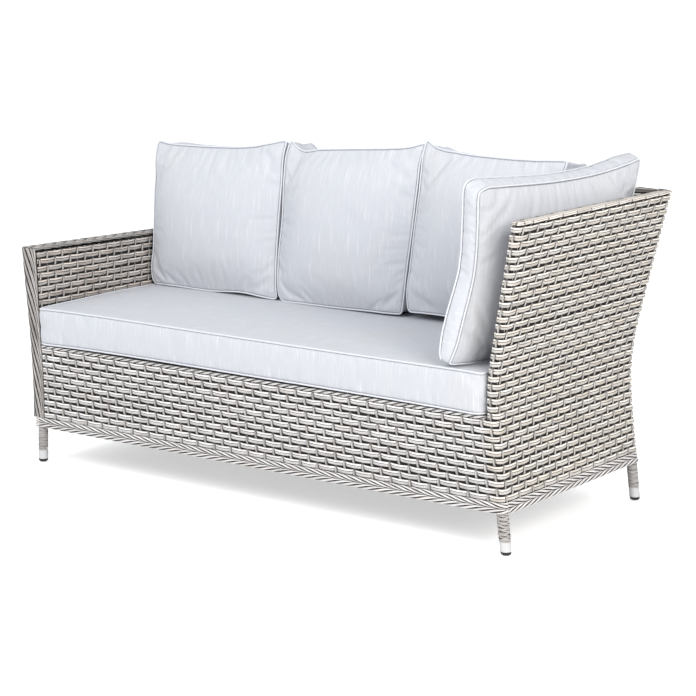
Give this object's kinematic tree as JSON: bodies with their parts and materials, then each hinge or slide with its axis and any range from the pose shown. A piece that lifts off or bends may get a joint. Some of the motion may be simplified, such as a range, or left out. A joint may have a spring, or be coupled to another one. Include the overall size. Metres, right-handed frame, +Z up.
{
  "type": "rattan garden sofa",
  "caption": "Woven garden sofa with a low arm, a high flared end, a leaning back, a long seat cushion, loose back cushions and a side cushion.",
  "frame": {"origin": "on the floor under the middle of the sofa's own box", "axes": "+X towards the high end, -Y towards the open front, +Z up"},
  "size_m": [1.7146, 0.7878, 0.934],
  "materials": {
    "wicker": "satin flat strip, woven",
    "plaited_edge": "satin round strand, plaited",
    "frame_tube": "powder coated",
    "ferrule": "light satin paint",
    "glide": "moulded",
    "cushion_fabric": "slub weave with piped seams"
  },
  "bodies": {
    "frame": {"arm_base_braid": "plaited_edge", "arm_front_plait": "plaited_edge", "arm_inner_weave": "wicker", "arm_outer_weave": "wicker", "arm_top_braid": "plaited_edge", "arm_top_rail": "frame_tube", "arm_upright": "frame_tube", "back_base_braid": "plaited_edge", "back_inner_weave": "wicker", "back_left_end_weave": "wicker", "back_outer_weave": "wicker", "back_top_border": "plaited_edge", "back_top_rail": "frame_tube", "back_upright_1": "frame_tube", "back_upright_2": "frame_tube", "end_base_braid": "plaited_edge", "end_inner_weave": "wicker", "end_outer_weave": "wicker", "end_top_border": "plaited_edge", "end_top_rail": "frame_tube", "end_upright": "frame_tube", "front_base_braid": "plaited_edge", "front_base_rail": "frame_tube", "front_left_ferrule": "ferrule", "front_left_glide": "glide", "front_left_leg_winding": "wicker", "front_left_post": "frame_tube", "front_right_ferrule": "ferrule", "front_right_glide": "glide", "front_right_leg_winding": "wicker", "front_right_post": "frame_tube", "front_seat_rail": "frame_tube", "front_skirt_weave": "wicker", "front_upright_1": "frame_tube", "front_upright_2": "frame_tube", "left_base_rail": "frame_tube", "left_seat_rail": "frame_tube", "rear_base_rail": "frame_tube", "rear_left_ferrule": "ferrule", "rear_left_glide": "glide", "rear_left_leg_winding": "wicker", "rear_left_post": "frame_tube", "rear_right_ferrule": "ferrule", "rear_right_glide": "glide", "rear_right_leg_winding": "wicker", "rear_right_post": "frame_tube", "rear_seat_rail": "frame_tube", "right_base_rail": "frame_tube", "right_seat_rail": "frame_tube", "seat_cross_bar_1": "frame_tube", "seat_cross_bar_2": "frame_tube", "seat_deck_weave": "wicker", "skirt_top_border": "plaited_edge"},
    "seat_cushion": {"seat_cushion": "cushion_fabric"},
    "back_cushion_left": {"back_cushion_left": "cushion_fabric"},
    "back_cushion_middle": {"back_cushion_middle": "cushion_fabric"},
    "back_cushion_right": {"back_cushion_right": "cushion_fabric"},
    "side_cushion": {"side_cushion": "cushion_fabric"}
  },
  "joints": [
    {"name": "seat_cushion_lift", "type": "slide", "parent": "frame", "child": "seat_cushion", "axis": [0, 0, 1], "range_m": [0, 0.5]},
    {"name": "back_cushion_left_lift", "type": "slide", "parent": "seat_cushion", "child": "back_cushion_left", "axis": [0, 0, 1], "range_m": [0, 0.4]},
    {"name": "back_cushion_middle_lift", "type": "slide", "parent": "seat_cushion", "child": "back_cushion_middle", "axis": [0, 0, 1], "range_m": [0, 0.4]},
    {"name": "back_cushion_right_lift", "type": "slide", "parent": "seat_cushion", "child": "back_cushion_right", "axis": [0, 0, 1], "range_m": [0, 0.4]},
    {"name": "side_cushion_lift", "type": "slide", "parent": "seat_cushion", "child": "side_cushion", "axis": [0, 0, 1], "range_m": [0, 0.4]}
  ]
}
